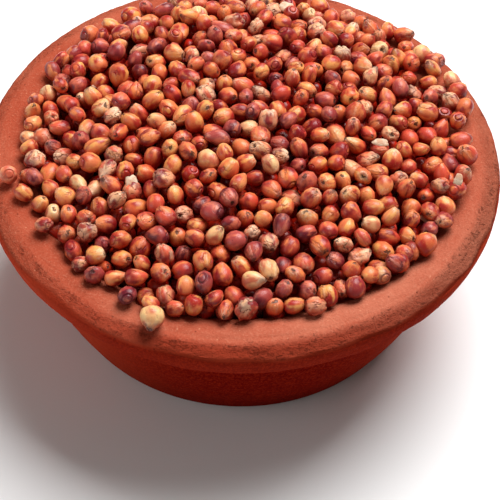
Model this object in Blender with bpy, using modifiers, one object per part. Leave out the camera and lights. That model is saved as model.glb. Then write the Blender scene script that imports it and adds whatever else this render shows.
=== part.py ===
"""A round clay bowl heaped with threshed sorghum grain.

The bowl is one turned piece of fired clay with a thick rolled lip. Loose kernels fill it
and stand above the lip in a low dome, and a few strays lie on the lip.
Run it with: blender --background --python part.py
"""

import math

import bmesh
import bpy
import numpy as np
from mathutils import Matrix

MM = 0.001

# The bowl. The origin is the centre of its foot, and +Z is up.
LIP_RADIUS = 52.0 * MM
BOWL_HEIGHT = 36.6 * MM
FOOT_RADIUS = 38.1 * MM
FOOT_ROUNDING = 1.6 * MM
NECK_RADIUS = 44.2 * MM
NECK_HEIGHT = 29.2 * MM
BELLY = 2.1 * MM
BAND_FOOT_RADIUS = 51.3 * MM
BAND_FOOT_HEIGHT = 30.6 * MM
BAND_TOP_HEIGHT = 34.1 * MM
LIP_CREST_RADIUS = 47.6 * MM
FLARE_DROP = 7.1 * MM
HOLLOW_RADIUS = 39.2 * MM
HOLLOW_SQUARENESS = 3.2
FLOOR_THICKNESS = 6.0 * MM
BOWL_STEPS = 64

# The heap. A kernel is widest across its germ side and longest from base to crown.
KERNEL_SIZE = np.array((4.0, 3.4, 4.6)) * MM
KERNEL_SIZE_SPREAD = 0.11
KERNEL_COUNT = 430
HEAP_RADIUS = 44.0 * MM
HEAP_CENTRE = np.array((1.0, 1.4)) * MM
HEAP_EDGE_WAVES = ((2, 0.7 * MM, 65.0), (3, 0.8 * MM, 25.0))
EDGE_SLACK = 0.7 * MM
HEAP_RISE = 7.0 * MM
HEAP_FOOT_HEIGHT = BOWL_HEIGHT + 0.9 * MM
HEAP_UNEVENNESS = 1.2 * MM
SEED = 41
PLACE_JITTER = 0.5 * MM

# Settling pushes overlapping kernels apart, and lifts any that come close to the clay.
SETTLING_ROUNDS = 60
PUSH_SHARE = 0.35
TOUCH_SHARE = 0.97
KERNEL_CLEARANCE = 0.5 * MM
SKIN_POINTS = 40

# Below the top kernels the grain is one solid core. Each top kernel is a twenty-sided ball, a
# little over full size to make up for its flat faces.
CORE_SINK = 0.35 * MM
CORE_RADIUS = HEAP_RADIUS + 0.8 * MM
CORE_IN_CLAY = 2.0 * MM
CORE_STEPS = 40
GAP = 0.3 * MM
BALL_RADIUS = 0.52
HEAP_TRIANGLES = 11300

# Strays on the lip: name, degrees round the bowl, radius, height over the lip, size, and the
# degrees its crown leans along the lip and outwards.
STRAYS = (
    ("stray_kernel_left", 193.9, 46.4, 2.2, (3.5, 3.5, 4.0), -43.0, 0.0),
    ("stray_kernel_front", 251.5, 47.7, 2.5, (3.9, 4.6, 5.5), 0.0, -58.0),
)
STRAY_SEGMENTS = 16
STRAY_RINGS = 10
STRAY_TAPER = 0.14

CLAY = (0.52, 0.13, 0.07)
GRAIN = (0.50, 0.12, 0.045)
PALE_GRAIN = (0.72, 0.47, 0.22)


def clear_scene():
    for obj in list(bpy.data.objects):
        bpy.data.objects.remove(obj, do_unlink=True)


def new_collection(name):
    collection = bpy.data.collections.new(name)
    bpy.context.scene.collection.children.link(collection)
    return collection


def new_material(name, colour, roughness):
    material = bpy.data.materials.new(name)
    material.use_nodes = True
    shader = material.node_tree.nodes["Principled BSDF"]
    shader.inputs["Base Color"].default_value = (*colour, 1.0)
    shader.inputs["Roughness"].default_value = roughness
    shader.inputs["Metallic"].default_value = 0.0
    return material


def solid_copy(obj, name, collection):
    """The object as its modifiers leave it, as a plain mesh object. The old one is removed."""
    graph = bpy.context.evaluated_depsgraph_get()
    mesh = bpy.data.meshes.new_from_object(obj.evaluated_get(graph))
    copy = bpy.data.objects.new(name, mesh)
    copy.matrix_world = obj.matrix_world
    bpy.data.objects.remove(obj, do_unlink=True)
    collection.objects.link(copy)
    mesh.name = name
    return copy


# The bowl's outline, as (radius, height) pairs.


def ellipse_arc(centre, radii, start_deg, end_deg, count):
    angles = np.radians(np.linspace(start_deg, end_deg, count))
    return np.column_stack((centre[0] + radii[0] * np.cos(angles), centre[1] + radii[1] * np.sin(angles)))


def hollow_outline(count):
    """From the floor's centre out to the wall: a quarter of a squared-off ellipse."""
    top = BOWL_HEIGHT - FLARE_DROP
    angles = np.linspace(0.0, math.pi / 2.0, count)
    radius = HOLLOW_RADIUS * np.sin(angles) ** (2.0 / HOLLOW_SQUARENESS)
    height = top - (top - FLOOR_THICKNESS) * np.cos(angles) ** (2.0 / HOLLOW_SQUARENESS)
    return np.column_stack((radius, height))


def lip_outline():
    """The wall flares out to the lip's crest, rolls over it and turns down the band."""
    flare = ellipse_arc(
        (LIP_CREST_RADIUS, BOWL_HEIGHT - FLARE_DROP),
        (LIP_CREST_RADIUS - HOLLOW_RADIUS, FLARE_DROP),
        180.0, 90.0, 8,
    )
    roll = ellipse_arc(
        (LIP_CREST_RADIUS, BAND_TOP_HEIGHT),
        (LIP_RADIUS - LIP_CREST_RADIUS, BOWL_HEIGHT - BAND_TOP_HEIGHT),
        90.0, 0.0, 6,
    )
    return np.vstack((flare, roll[1:]))


def outer_outline(count):
    """From the band's foot in under it, down the bellied wall and round the foot."""
    share = np.linspace(0.0, 1.0, count)
    radius = NECK_RADIUS + (FOOT_RADIUS - NECK_RADIUS) * share + BELLY * np.sin(math.pi * share)
    height = NECK_HEIGHT + (FOOT_ROUNDING - NECK_HEIGHT) * share
    foot = ellipse_arc(
        (FOOT_RADIUS - FOOT_ROUNDING, FOOT_ROUNDING), (FOOT_ROUNDING, FOOT_ROUNDING), -30.0, -90.0, 3
    )
    return np.vstack(((BAND_FOOT_RADIUS, BAND_FOOT_HEIGHT), np.column_stack((radius, height)), foot, (0.0, 0.0)))


def bowl_outline():
    """From the hollow's centre, over the lip and down the outside to the foot's centre."""
    return np.vstack((hollow_outline(8)[:-1], lip_outline(), outer_outline(8)))


def swollen(outline, distance):
    """The outline moved out of the clay by a distance, along its own normals."""
    along = np.gradient(outline, axis=0)
    along /= np.linalg.norm(along, axis=1)[:, None]
    moved = outline + distance * np.column_stack((-along[:, 1], along[:, 0]))
    moved[[0, -1], 0] = 0.0
    return moved


def turned(name, outline, steps, collection):
    """A solid of revolution about Z."""
    mesh = bpy.data.meshes.new(name)
    points = [(radius, 0.0, height) for radius, height in outline.tolist()]
    mesh.from_pydata(points, [(i, i + 1) for i in range(len(points) - 1)], [])
    obj = bpy.data.objects.new(name, mesh)
    collection.objects.link(obj)
    screw = obj.modifiers.new("turn", "SCREW")
    screw.axis = "Z"
    screw.angle = 2.0 * math.pi
    screw.steps = screw.render_steps = steps
    screw.use_merge_vertices = True
    screw.merge_threshold = 0.00001
    screw.use_smooth_shade = True
    return obj


# Where the kernels of the heap lie.


def clay_height(radius):
    """Height of the clay under a point at this radius."""
    inside = np.vstack((hollow_outline(12)[:-1], lip_outline()))
    return np.interp(radius, inside[:, 0], inside[:, 1])


def heap_edge(outward):
    """How far out the heap reaches in each direction: a circle with slow waves."""
    angle = np.arctan2(outward[:, 1], outward[:, 0])
    return HEAP_RADIUS + sum(
        size * np.cos(count * angle - math.radians(turn)) for count, size, turn in HEAP_EDGE_WAVES
    )


def dome_height(places):
    """Height of the kernels' centres: a low dome that meets the lip all round."""
    outward = places - HEAP_CENTRE
    share = np.linalg.norm(outward, axis=1) / heap_edge(outward)
    return HEAP_FOOT_HEIGHT + HEAP_RISE * np.clip(1.0 - share**2, 0.0, 1.0)


def random_turns(draw, count):
    """Rotation matrices from unit quaternions drawn evenly over all turns."""
    quaternions = draw.normal(size=(count, 4))
    w, x, y, z = (quaternions / np.linalg.norm(quaternions, axis=1)[:, None]).T
    rows = (
        (1 - 2 * (y * y + z * z), 2 * (x * y - z * w), 2 * (x * z + y * w)),
        (2 * (x * y + z * w), 1 - 2 * (x * x + z * z), 2 * (y * z - x * w)),
        (2 * (x * z - y * w), 2 * (y * z + x * w), 1 - 2 * (x * x + y * y)),
    )
    return np.array(rows).transpose(2, 0, 1)


def spiral_angles(count):
    return np.arange(count) * math.pi * (3.0 - math.sqrt(5.0))


def sphere_directions(count):
    """Unit directions spread over a sphere on a golden-angle spiral."""
    height = 1.0 - 2.0 * (np.arange(count) + 0.5) / count
    angle = spiral_angles(count)
    across = np.sqrt(1.0 - height**2)
    return np.column_stack((across * np.cos(angle), across * np.sin(angle), height))


def push_apart(centres, shapes):
    """Moves each kernel off its neighbours by a share of how far they overlap."""
    own = np.arange(len(centres))
    apart = centres[:, None] - centres[None]
    distance = np.linalg.norm(apart, axis=2)
    distance[own, own] = 1.0
    towards = apart / distance[..., None]
    towards[own, own] = (0.0, 0.0, 1.0)
    reach = 1.0 / np.sqrt(np.einsum("nmi,nij,nmj->nm", towards, shapes, towards))
    overlap = np.clip(TOUCH_SHARE * (reach + reach.T) - distance, 0.0, None)
    overlap[own, own] = 0.0
    return centres + PUSH_SHARE * (towards * overlap[..., None]).sum(axis=1)


def keep_in_heap(centres, skin, slack):
    """Brings kernels back inside the heap's edge and near its dome, then up off the clay."""
    outward = centres[:, :2] - HEAP_CENTRE
    beyond = np.maximum(np.linalg.norm(outward, axis=1) / (heap_edge(outward) + slack), 1.0)
    places = HEAP_CENTRE + outward / beyond[:, None]
    dome = dome_height(places)
    height = np.clip(centres[:, 2], dome - HEAP_UNEVENNESS, dome + HEAP_UNEVENNESS)
    kept = np.column_stack((places, height))
    points = kept[:, None] + skin
    under = clay_height(np.linalg.norm(points[..., :2], axis=2)) + KERNEL_CLEARANCE - points[..., 2]
    kept[:, 2] += np.clip(under.max(axis=1), 0.0, None)
    return kept


def heap_kernels():
    """Centres, turns and sizes: a spiral with drawn shifts, settled until the kernels only touch."""
    draw = np.random.default_rng(SEED)
    angle = spiral_angles(KERNEL_COUNT)
    radius = HEAP_RADIUS * np.sqrt((np.arange(KERNEL_COUNT) + 0.5) / KERNEL_COUNT)
    places = HEAP_CENTRE + np.column_stack((radius * np.cos(angle), radius * np.sin(angle)))
    places += draw.normal(0.0, PLACE_JITTER, places.shape)
    height = dome_height(places) + draw.uniform(-1.0, 1.0, KERNEL_COUNT) * HEAP_UNEVENNESS
    centres = np.column_stack((places, height))
    turns = random_turns(draw, KERNEL_COUNT)
    sizes = KERNEL_SIZE * (1.0 + draw.uniform(-1.0, 1.0, (KERNEL_COUNT, 1)) * KERNEL_SIZE_SPREAD)
    shapes = np.einsum("nij,nj,nkj->nik", turns, (2.0 / sizes) ** 2, turns)
    skin = np.einsum("nij,nj,mj->nmi", turns, sizes / 2.0, sphere_directions(SKIN_POINTS))
    slack = draw.normal(0.0, EDGE_SLACK, KERNEL_COUNT)
    for _ in range(SETTLING_ROUNDS):
        centres = keep_in_heap(push_apart(centres, shapes), skin, slack)
    return centres, turns, sizes


# The pieces.


def make_bowl(collection):
    bowl = turned("bowl", bowl_outline(), BOWL_STEPS, collection)
    bowl.data.materials.append(new_material("fired_clay", CLAY, 0.85))
    return bowl


def make_core(collection):
    """The mass of grain below the top kernels. Its sides run into the clay, which is cut away later."""
    share = np.linspace(0.0, 1.0, 7)
    top = np.column_stack((
        CORE_RADIUS * share, HEAP_FOOT_HEIGHT - CORE_SINK + HEAP_RISE * (1.0 - share**2)
    ))
    sides = hollow_outline(8)[::-1] + np.array((CORE_IN_CLAY, -CORE_IN_CLAY))
    sides[-1, 0] = 0.0
    core = turned("core", np.vstack((top, sides)), CORE_STEPS, collection)
    core.location = (*HEAP_CENTRE, 0.0)
    return core


def make_kernels(collection):
    ball = bmesh.new()
    bmesh.ops.create_icosphere(ball, subdivisions=1, radius=BALL_RADIUS)
    mesh = bpy.data.meshes.new("kernel")
    ball.to_mesh(mesh)
    ball.free()
    for number, (centre, turn, size) in enumerate(zip(*heap_kernels())):
        kernel = bpy.data.objects.new(f"kernel_{number:03d}", mesh)
        turned_ball = Matrix(turn.tolist()).to_4x4() @ Matrix.Diagonal((*size, 1.0))
        kernel.matrix_world = Matrix.Translation(centre) @ turned_ball
        collection.objects.link(kernel)


def join(obj, operation, solver, collection):
    boolean = obj.modifiers.new(operation.lower(), "BOOLEAN")
    boolean.operation = operation
    boolean.operand_type = "COLLECTION"
    boolean.collection = collection
    boolean.solver = solver


def keep_largest_body(obj):
    """Drops loose scraps and the walls of sealed hollows, which a union can leave."""
    mesh = bmesh.new()
    mesh.from_mesh(obj.data)
    left = set(mesh.verts)
    bodies = []
    while left:
        body, edge = set(), [left.pop()]
        while edge:
            vertex = edge.pop()
            body.add(vertex)
            fresh = {e.other_vert(vertex) for e in vertex.link_edges} & left
            left -= fresh
            edge.extend(fresh)
        bodies.append(body)
    bodies.sort(key=len)
    scraps = [vertex for body in bodies[:-1] for vertex in body]
    bmesh.ops.delete(mesh, geom=scraps, context="VERTS")
    mesh.to_mesh(obj.data)
    mesh.free()


def make_heap(parts, helpers):
    """The core, trimmed clear of the clay, and the kernels that stand out of it, in one body."""
    cutters = new_collection("cutters")
    clearance = turned("bowl_clearance", swollen(bowl_outline(), GAP), BOWL_STEPS, cutters)
    clearance.hide_render = True
    clearance.display_type = "WIRE"
    core = solid_copy(make_core(helpers), "core", helpers)
    join(core, "DIFFERENCE", "EXACT", cutters)
    core = solid_copy(core, "core", helpers)
    kernels = new_collection("kernels")
    make_kernels(kernels)
    join(core, "UNION", "MANIFOLD", kernels)
    heap = solid_copy(core, "grain_heap", parts)
    for kernel in list(kernels.objects):
        bpy.data.objects.remove(kernel, do_unlink=True)
    keep_largest_body(heap)
    heap.data.calc_loop_triangles()
    thin = heap.modifiers.new("fewer_faces", "DECIMATE")
    thin.ratio = HEAP_TRIANGLES / len(heap.data.loop_triangles)
    heap.data.materials.append(new_material("sorghum_grain", GRAIN, 0.45))


def make_stray(name, around, radius, height, size, along_lean, outward_lean, collection):
    """A single kernel lying on the lip, narrower towards its base."""
    body = bmesh.new()
    bmesh.ops.create_uvsphere(body, u_segments=STRAY_SEGMENTS, v_segments=STRAY_RINGS, radius=0.5)
    for vertex in body.verts:
        width = 1.0 + STRAY_TAPER * 2.0 * vertex.co.z
        vertex.co.x *= width
        vertex.co.y *= width
    mesh = bpy.data.meshes.new(name)
    body.to_mesh(mesh)
    body.free()
    mesh.shade_smooth()
    stray = bpy.data.objects.new(name, mesh)
    stray.matrix_world = (
        Matrix.Rotation(math.radians(around), 4, "Z")
        @ Matrix.Translation((radius * MM, 0.0, BOWL_HEIGHT + height * MM))
        @ Matrix.Rotation(math.radians(outward_lean), 4, "Y")
        @ Matrix.Rotation(math.radians(along_lean), 4, "X")
        @ Matrix.Diagonal((size[0] * MM, size[1] * MM, size[2] * MM, 1.0))
    )
    collection.objects.link(stray)
    return stray


clear_scene()
part_collection = new_collection("bowl_of_sorghum")
helper_collection = new_collection("helpers")
make_bowl(part_collection)
make_heap(part_collection, helper_collection)
left_stray, front_stray = (make_stray(*stray, part_collection) for stray in STRAYS)
left_stray.data.materials.append(bpy.data.materials["sorghum_grain"])
front_stray.data.materials.append(new_material("pale_sorghum_grain", PALE_GRAIN, 0.45))
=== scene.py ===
"""A round clay bowl heaped with threshed red sorghum, standing on a pale table in soft light.

The sections follow the object as it is put together: the thrown bowl, the grain that fills it
layer by layer, the husks left among the kernels and the strays on the lip. The table, the
lights and the camera come last. The origin is the centre of the bowl's foot, and +Z is up.
"""

import math

import bpy
import numpy as np
from mathutils import Matrix, Vector


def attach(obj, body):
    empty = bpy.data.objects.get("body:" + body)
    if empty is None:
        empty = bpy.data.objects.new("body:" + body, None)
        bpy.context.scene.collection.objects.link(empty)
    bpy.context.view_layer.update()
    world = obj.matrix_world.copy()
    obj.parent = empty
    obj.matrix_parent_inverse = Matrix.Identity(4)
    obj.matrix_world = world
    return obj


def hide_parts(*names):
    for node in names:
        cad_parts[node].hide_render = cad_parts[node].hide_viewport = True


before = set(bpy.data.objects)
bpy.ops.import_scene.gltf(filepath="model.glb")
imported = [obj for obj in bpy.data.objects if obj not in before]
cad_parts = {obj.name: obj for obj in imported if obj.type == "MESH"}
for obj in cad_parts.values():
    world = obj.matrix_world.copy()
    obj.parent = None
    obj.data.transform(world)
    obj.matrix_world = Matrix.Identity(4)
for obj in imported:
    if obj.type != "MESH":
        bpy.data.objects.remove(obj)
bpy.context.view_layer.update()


# The bowl. One piece of red clay thrown on a wheel, its lip rolled over outwards and turned
# down in a narrow band, then fired without a glaze. The clay tore where the roll was bent, and
# the potter's fingers left fine rings in the lip and the wall.

MM = 0.001
LIP_RADIUS, BOWL_HEIGHT = 52.0 * MM, 36.6 * MM
FOOT_RADIUS, FOOT_ROUNDING = 38.1 * MM, 1.6 * MM
NECK_RADIUS, NECK_HEIGHT = 44.2 * MM, 29.2 * MM
BELLY = 2.1 * MM
BAND_FOOT_RADIUS, BAND_FOOT_HEIGHT = 51.3 * MM, 30.6 * MM
BAND_TOP_HEIGHT = 34.1 * MM
LIP_CREST_RADIUS, FLARE_DROP = 47.6 * MM, 7.1 * MM
HOLLOW_RADIUS, HOLLOW_SQUARENESS = 39.2 * MM, 3.2
FLOOR_THICKNESS = 6.0 * MM
FULL_TURN = 2.0 * math.pi


def arc(centre, radii, start_deg, end_deg, count):
    """Points of an ellipse from one angle to another, as (radius, height) pairs."""
    angles = np.radians(np.linspace(start_deg, end_deg, count))
    return np.asarray(centre) + np.column_stack((radii[0] * np.cos(angles), radii[1] * np.sin(angles)))


def hollow_outline(count):
    """From the floor's centre out to the wall: a quarter of a squared-off ellipse."""
    top = BOWL_HEIGHT - FLARE_DROP
    angles = np.linspace(0.0, math.pi / 2.0, count)
    radius = HOLLOW_RADIUS * np.sin(angles) ** (2.0 / HOLLOW_SQUARENESS)
    height = top - (top - FLOOR_THICKNESS) * np.cos(angles) ** (2.0 / HOLLOW_SQUARENESS)
    return np.column_stack((radius, height))


def lip_outline(flare_count, roll_count):
    """The wall flares out to the lip's crest, rolls over it and turns down to the band."""
    flare = arc(
        (LIP_CREST_RADIUS, BOWL_HEIGHT - FLARE_DROP), (LIP_CREST_RADIUS - HOLLOW_RADIUS, FLARE_DROP),
        180.0, 90.0, flare_count,
    )
    roll_radii = (LIP_RADIUS - LIP_CREST_RADIUS, BOWL_HEIGHT - BAND_TOP_HEIGHT)
    roll = arc((LIP_CREST_RADIUS, BAND_TOP_HEIGHT), roll_radii, 90.0, 0.0, roll_count)
    return np.vstack((flare, roll[1:]))


def outside_outline(count):
    """From the band's foot in under it, down the bellied wall and round the foot."""
    share = np.linspace(0.0, 1.0, count)
    radius = NECK_RADIUS + (FOOT_RADIUS - NECK_RADIUS) * share + BELLY * np.sin(math.pi * share)
    height = NECK_HEIGHT + (FOOT_ROUNDING - NECK_HEIGHT) * share
    foot = arc((FOOT_RADIUS - FOOT_ROUNDING, FOOT_ROUNDING), (FOOT_ROUNDING, FOOT_ROUNDING), -20.0, -90.0, 6)
    return np.vstack(((BAND_FOOT_RADIUS, BAND_FOOT_HEIGHT), np.column_stack((radius, height)), foot))


def distances(outline):
    """How far along the outline each of its points lies."""
    return np.concatenate(([0.0], np.cumsum(np.linalg.norm(np.diff(outline, axis=0), axis=1))))


def eased(outline, spacing, rounds):
    """The outline cut into even steps, then rounded off: each point moves half way to the middle
    of its two neighbours, so many times over."""
    along = distances(outline)
    even = np.linspace(0.0, along[-1], round(along[-1] / spacing) + 1)
    points = np.column_stack([np.interp(even, along, column) for column in outline.T])
    for _ in range(rounds):
        points[1:-1] += 0.25 * (points[:-2] - 2.0 * points[1:-1] + points[2:])
    return points


def waves(places, lengths, draw):
    """A rough surface's height at each place: plane waves of the given lengths, each with a drawn
    direction and phase, added up and brought to about -1 to 1."""
    headings = draw.normal(size=(len(lengths), 3))
    headings *= FULL_TURN / (np.linalg.norm(headings, axis=1) * lengths)[:, None]
    phases = draw.uniform(0.0, FULL_TURN, len(lengths))
    return np.sin(places @ headings.T + phases).sum(axis=-1) / math.sqrt(len(lengths))


def ramp_up(values, low, high):
    """0 below low, 1 above high, and an S-shaped rise between them."""
    share = np.clip((values - low) / (high - low), 0.0, 1.0)
    return share * share * (3.0 - 2.0 * share)


def closed_form(name, rings, around, points):
    """A mesh of one or many closed forms. Each is a lower pole, rings of points that run
    anticlockwise from low to high, and an upper pole, and points has the shape (forms, points, 3)."""
    ring = 1 + np.arange(rings * around).reshape(rings, around)
    beside = np.roll(ring, -1, axis=1)
    quads = np.stack((ring[:-1], beside[:-1], beside[1:], ring[1:]), axis=-1).reshape(-1, 4)
    low = np.column_stack((np.zeros(around, int), beside[0], ring[0]))
    high = np.column_stack((np.full(around, rings * around + 1), ring[-1], beside[-1]))
    first = (rings * around + 2) * np.arange(len(points))[:, None, None]
    faces = (quads + first).reshape(-1, 4).tolist() + (np.vstack((low, high)) + first).reshape(-1, 3).tolist()
    mesh = bpy.data.meshes.new(name)
    mesh.from_pydata(points.reshape(-1, 3).tolist(), [], faces)
    mesh.shade_smooth()
    return mesh


def note(mesh, name, values):
    """Keeps one number, or one vector, for every point of the mesh under a name that materials read."""
    vector = values.ndim == 2
    kept = mesh.attributes.new(name, "FLOAT_VECTOR" if vector else "FLOAT", "POINT")
    kept.data.foreach_set("vector" if vector else "value", values.astype(np.float32).ravel())


def place(name, mesh, material, slot, *nodes):
    """Puts a finished mesh in the scene in its material, as a piece that stands for CAD nodes."""
    mesh.materials.append(material)
    piece = bpy.data.objects.new(name, mesh)
    bpy.context.scene.collection.objects.link(piece)
    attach(piece, "root")
    if nodes:
        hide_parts(*nodes)


def add(tree, kind, inputs=None, **settings):
    """A shader node. Settings go on it, and each input is a value or the socket that feeds it."""
    made = tree.nodes.new("ShaderNode" + kind)
    for key, value in settings.items():
        setattr(made, key, value)
    for key, value in (inputs or {}).items():
        if isinstance(value, bpy.types.NodeSocket):
            tree.links.new(value, made.inputs[key])
        else:
            made.inputs[key].default_value = value
    return made


def maths(tree, operation, *values):
    """The output of a Math node with these inputs."""
    return add(tree, "Math", dict(enumerate(values)), operation=operation).outputs[0]


def scaled(tree, vector, by):
    """A vector with each of its parts multiplied by its own number."""
    return add(tree, "VectorMath", {0: vector, 1: by}, operation="MULTIPLY").outputs[0]


def noise(tree, vector, scale, detail=2.0, roughness=0.5):
    """Soft random blotches, about 0.3 to 0.7, so many to the unit length."""
    inputs = {"Vector": vector, "Scale": scale, "Detail": detail, "Roughness": roughness}
    return add(tree, "TexNoise", inputs).outputs["Fac"]


def step(tree, value, low, high):
    """0 below low, 1 above high, smooth between. With low over high it falls instead."""
    inputs = {"Value": value, "From Min": low, "From Max": high}
    return add(tree, "MapRange", inputs, interpolation_type="SMOOTHSTEP").outputs["Result"]


def mixed(tree, share, first, second, kind="MIX"):
    """The first colour with this share of the second laid over it."""
    made = add(tree, "Mix", {0: share, 6: first, 7: second}, data_type="RGBA", blend_type=kind)
    return made.outputs[2]


def read(tree, name, output="Vector"):
    """What the mesh keeps under this name."""
    return add(tree, "Attribute", attribute_name=name).outputs[output]


def surfaced(name, specular=0.5, **settings):
    """A new material, its node tree and its shader with the given values on its own sockets."""
    material = bpy.data.materials.new(name)
    material.use_nodes = True
    shader = material.node_tree.nodes["Principled BSDF"]
    shader.inputs["Specular IOR Level"].default_value = specular
    for key, value in settings.items():
        shader.inputs[key].default_value = value
    return material, material.node_tree, shader


def fired_clay():
    """Brick-red clay in two slow tones, gritty with sand, in fine turning rings. The torn roll is
    rougher, pitted and dusty. Below it the clay is smoother and carries painted shade: a shaded
    burnt orange at first, then two dark reds in a fine grain."""
    red, orange, dusty = (0.39, 0.068, 0.033, 1.0), (0.45, 0.098, 0.051, 1.0), (0.58, 0.215, 0.132, 1.0)
    # The second row holds the painted shade colours of the outside under the lip.
    half_shade, fired, deep = (0.41, 0.043, 0.017, 1.0), (0.25, 0.0130, 0.0034, 1.0), (0.13, 0.0018, 0.0008, 1.0)
    soot, sand = (0.09, 0.012, 0.006, 1.0), (0.72, 0.34, 0.20, 1.0)
    material, tree, shader = surfaced("fired_clay", specular=0.01, Metallic=0.0)
    spot, turned = add(tree, "TexCoord").outputs["Object"], read(tree, "turned")
    # below is painted shade; torn and rubbed are real wear.
    torn, below, rubbed = add(tree, "SeparateXYZ", {0: read(tree, "wear_and_shade")}).outputs

    patches = noise(tree, spot, 60.0, 3.0)
    grit = noise(tree, spot, 2200.0, 3.0, 0.75)
    rings = noise(tree, turned, 700.0, 3.0, 0.6)
    rough = maths(tree, "ADD", noise(tree, spot, 1500.0, 4.0, 0.8), noise(tree, turned, 620.0, 4.0, 0.7))
    pits = maths(tree, "MULTIPLY", step(tree, rough, 0.92, 0.76), torn)

    cells = add(tree, "TexVoronoi", {"Vector": spot, "Scale": 1500.0})
    from_grain = cells.outputs["Distance"]
    drawn = add(tree, "SeparateColor", {0: cells.outputs["Color"]}).outputs[0]
    sparks = maths(tree, "MULTIPLY", step(tree, from_grain, 0.34, 0.16), step(tree, drawn, 0.95, 0.97))
    sparks = maths(tree, "MULTIPLY", sparks, maths(tree, "SUBTRACT", 1.0, below))
    specks = maths(tree, "MULTIPLY", step(tree, from_grain, 0.40, 0.15), step(tree, drawn, 0.030, 0.015))

    grit_dust = maths(tree, "MULTIPLY", step(tree, grit, 0.45, 0.75), 0.40)
    rubbed_dust = maths(tree, "MULTIPLY", rubbed, maths(tree, "MULTIPLY_ADD", patches, 0.6, 0.04))
    dust = maths(tree, "ADD", rubbed_dust, maths(tree, "MULTIPLY_ADD", torn, 0.05, grit_dust))
    colour = mixed(tree, step(tree, patches, 0.38, 0.64), red, orange)
    colour = mixed(tree, dust, colour, dusty)
    colour = mixed(tree, maths(tree, "MULTIPLY", step(tree, rings, 0.46, 0.30), 0.30), colour, red)
    colour = mixed(tree, maths(tree, "MULTIPLY", sparks, 0.40), colour, sand)
    # Painted shade: below the seam at the front the outside turns to a shaded burnt orange, then to two dark
    # reds in a fine grain.
    grainy_shade = mixed(tree, step(tree, grit, 0.44, 0.62), deep, fired)
    lower = mixed(tree, step(tree, below, 0.5, 1.0), half_shade, grainy_shade)
    colour = mixed(tree, step(tree, below, 0.0, 0.5), colour, lower)
    dark = maths(tree, "MULTIPLY_ADD", specks, 0.6, maths(tree, "MULTIPLY", pits, 0.50))
    dark = maths(tree, "MULTIPLY_ADD", step(tree, grit, 0.42, 0.28), 0.25, dark)
    colour = mixed(tree, dark, colour, soot)

    height = maths(tree, "ADD", maths(tree, "MULTIPLY", grit, 0.8), maths(tree, "MULTIPLY", rings, 0.5))
    height = maths(tree, "ADD", height, maths(tree, "MULTIPLY", rough, maths(tree, "MULTIPLY", torn, 4.5)))
    height = maths(tree, "SUBTRACT", height, maths(tree, "MULTIPLY", pits, 1.2))
    bump = add(tree, "Bump", {"Strength": 1.0, "Distance": 0.30 * MM, "Height": height})
    tree.links.new(colour, shader.inputs["Base Color"])
    tree.links.new(maths(tree, "MULTIPLY_ADD", grit, 0.18, 0.72), shader.inputs["Roughness"])
    tree.links.new(bump.outputs["Normal"], shader.inputs["Normal"])
    return material


OUTLINE_SPACING, OUTLINE_ROUNDS, BOWL_TURNS = 0.36 * MM, 7, 420
UNDERSIDE_RADII = (0.0, 14.0 * MM, 27.0 * MM)
SHOULDER_WEAR, SHOULDER_HEIGHT = 0.32 * MM, 34.5 * MM
SHOULDER_START, SHOULDER_END = (46.8 * MM, 50.0 * MM), (50.4 * MM, 51.9 * MM)
SEAM_HEIGHT, SEAM_WIDTH, SEAM_DEPTH = 34.9 * MM, 0.28 * MM, 0.07 * MM
SEAM_WANDER, SEAM_WAVES = 0.22 * MM, np.array((9.0, 14.0, 23.0)) * MM
RING_STRETCH = 0.30
FINGER_DEPTH, FINGER_RINGS = 0.045 * MM, np.array((1.3, 1.7, 2.3, 3.1, 4.3)) * MM
GRIT_DEPTH, TORN_DEPTH, ROUGH_WAVES = 0.025 * MM, 0.11 * MM, np.geomspace(0.9, 3.6, 28) * MM
LIP_WAVE_COUNTS, LIP_WAVE_SIZES = np.array((2, 3, 5, 8)), np.array((0.16, 0.13, 0.07, 0.04)) * MM


def bowl_outline():
    """From the foot's middle out and up the wall, over the lip and down the hollow to its floor.
    The part that shows is eased, and its shoulder is worn a little lower."""
    shown = np.vstack((outside_outline(40)[::-1], lip_outline(30, 24)[::-1]))
    foot = [(radius, 0.0) for radius in UNDERSIDE_RADII]
    outline = np.vstack((foot, eased(shown, OUTLINE_SPACING, OUTLINE_ROUNDS), hollow_outline(9)[::-1][1:]))
    outline[-1, 0] = 0.0
    radius, height = outline.T
    shoulder = ramp_up(radius, *SHOULDER_START) * (1.0 - ramp_up(radius, *SHOULDER_END))
    outline[:, 1] -= SHOULDER_WEAR * shoulder * (height > SHOULDER_HEIGHT)
    return outline


def facing(turns, degrees):
    """1 in this direction round the bowl, 0 a quarter turn away from it and -1 opposite."""
    return np.cos(turns - math.radians(degrees))


def clay_wear_and_shade(radius, height, turns, above_seam, torn):
    """How torn the clay is, how much painted shade it carries, and how rubbed it is. Painted shade
    covers the outside below the seam at the front, lighter to both sides and on the band, and none
    at the back. Painted shade darkens the front of the roll a little too, and hands rubbed the roll
    at the front right."""
    outside = (np.arange(len(radius)) < np.argmax(height))[:, None]
    # Painted shade on the roll's front; the sides and the band are painted lighter.
    front_shade = np.clip(1.8 * facing(turns, 270.0) - 0.8, 0.0, 1.0)
    shade = 0.38 * ramp_up(radius, 46.9 * MM, 50.2 * MM)[:, None] * front_shade
    painted_light = np.minimum(1.0 - facing(turns, 278.0), 0.5)
    painted_light = np.maximum(painted_light, 0.16 * ramp_up(height, 30.0 * MM, 31.0 * MM)[:, None])
    shaded_side = ramp_up(facing(turns, 272.0), -0.25, 0.30)
    deep = (1.0 - painted_light - above_seam * (1.0 - painted_light - shade)) * shaded_side
    rubbed = np.clip(facing(turns, 308.0), 0.0, None) * above_seam
    return np.stack((torn, np.where(outside, deep, 0.0), rubbed), axis=-1)


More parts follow.
